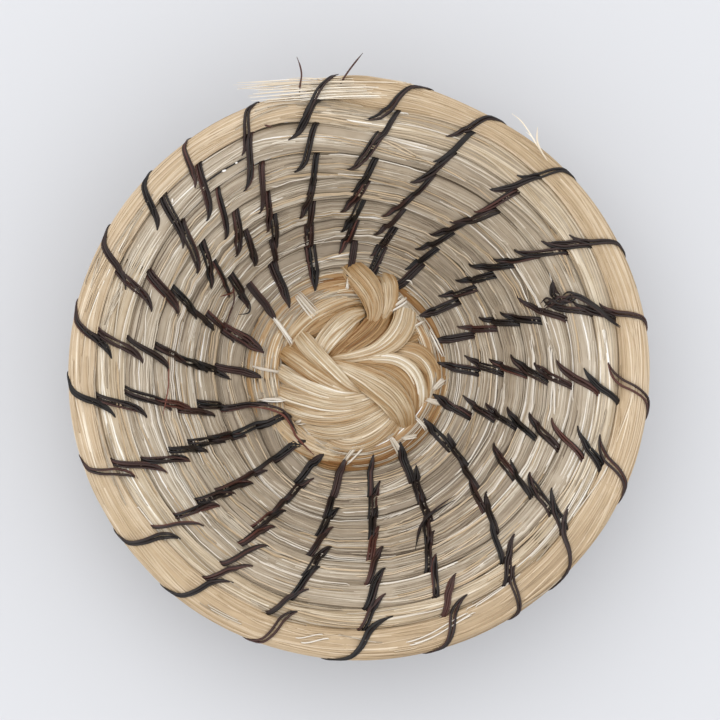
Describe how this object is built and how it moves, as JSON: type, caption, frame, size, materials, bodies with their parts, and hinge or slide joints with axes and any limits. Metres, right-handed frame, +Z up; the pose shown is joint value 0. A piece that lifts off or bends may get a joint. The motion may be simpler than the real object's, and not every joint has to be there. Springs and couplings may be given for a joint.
{
  "type": "coiled horsehair bowl",
  "caption": "Small round coiled bowl: a knotted start, a spiral foundation of pale hair and dark overcast stitches in leaning ribs, flaring to an open rim.",
  "frame": {"origin": "centre of the flat underside of the start knot, which the bowl stands on", "axes": "+Z up through the open mouth; the foundation winds outwards anticlockwise seen from above and ends at the rim towards +Y"},
  "size_m": [0.0635, 0.0665, 0.0171],
  "materials": {
    "golden_hair": "soft gloss, fine hair grain",
    "pale_hair": "soft gloss, fine hair grain",
    "blond_hair": "soft gloss, fine hair grain",
    "white_hair": "glossy single hairs",
    "dark_hair": "glossy single hairs"
  },
  "bodies": {
    "root": {"start_knot": "golden_hair", "start_ring": "golden_hair", "wall_coil": "pale_hair", "rim_coil": "blond_hair", "ring_stitching": "white_hair", "stitching_turn_1": "dark_hair", "stitching_turn_2": "dark_hair", "stitching_turn_3": "dark_hair", "stitching_turn_4": "dark_hair", "stitching_turn_5": "dark_hair", "stitching_turn_6": "dark_hair", "stitching_turn_7": "dark_hair", "stitching_turn_8": "dark_hair", "dark_end_1": "dark_hair", "dark_end_2": "dark_hair", "pale_end_1": "white_hair", "pale_end_2": "white_hair"}
  },
  "joints": []
}
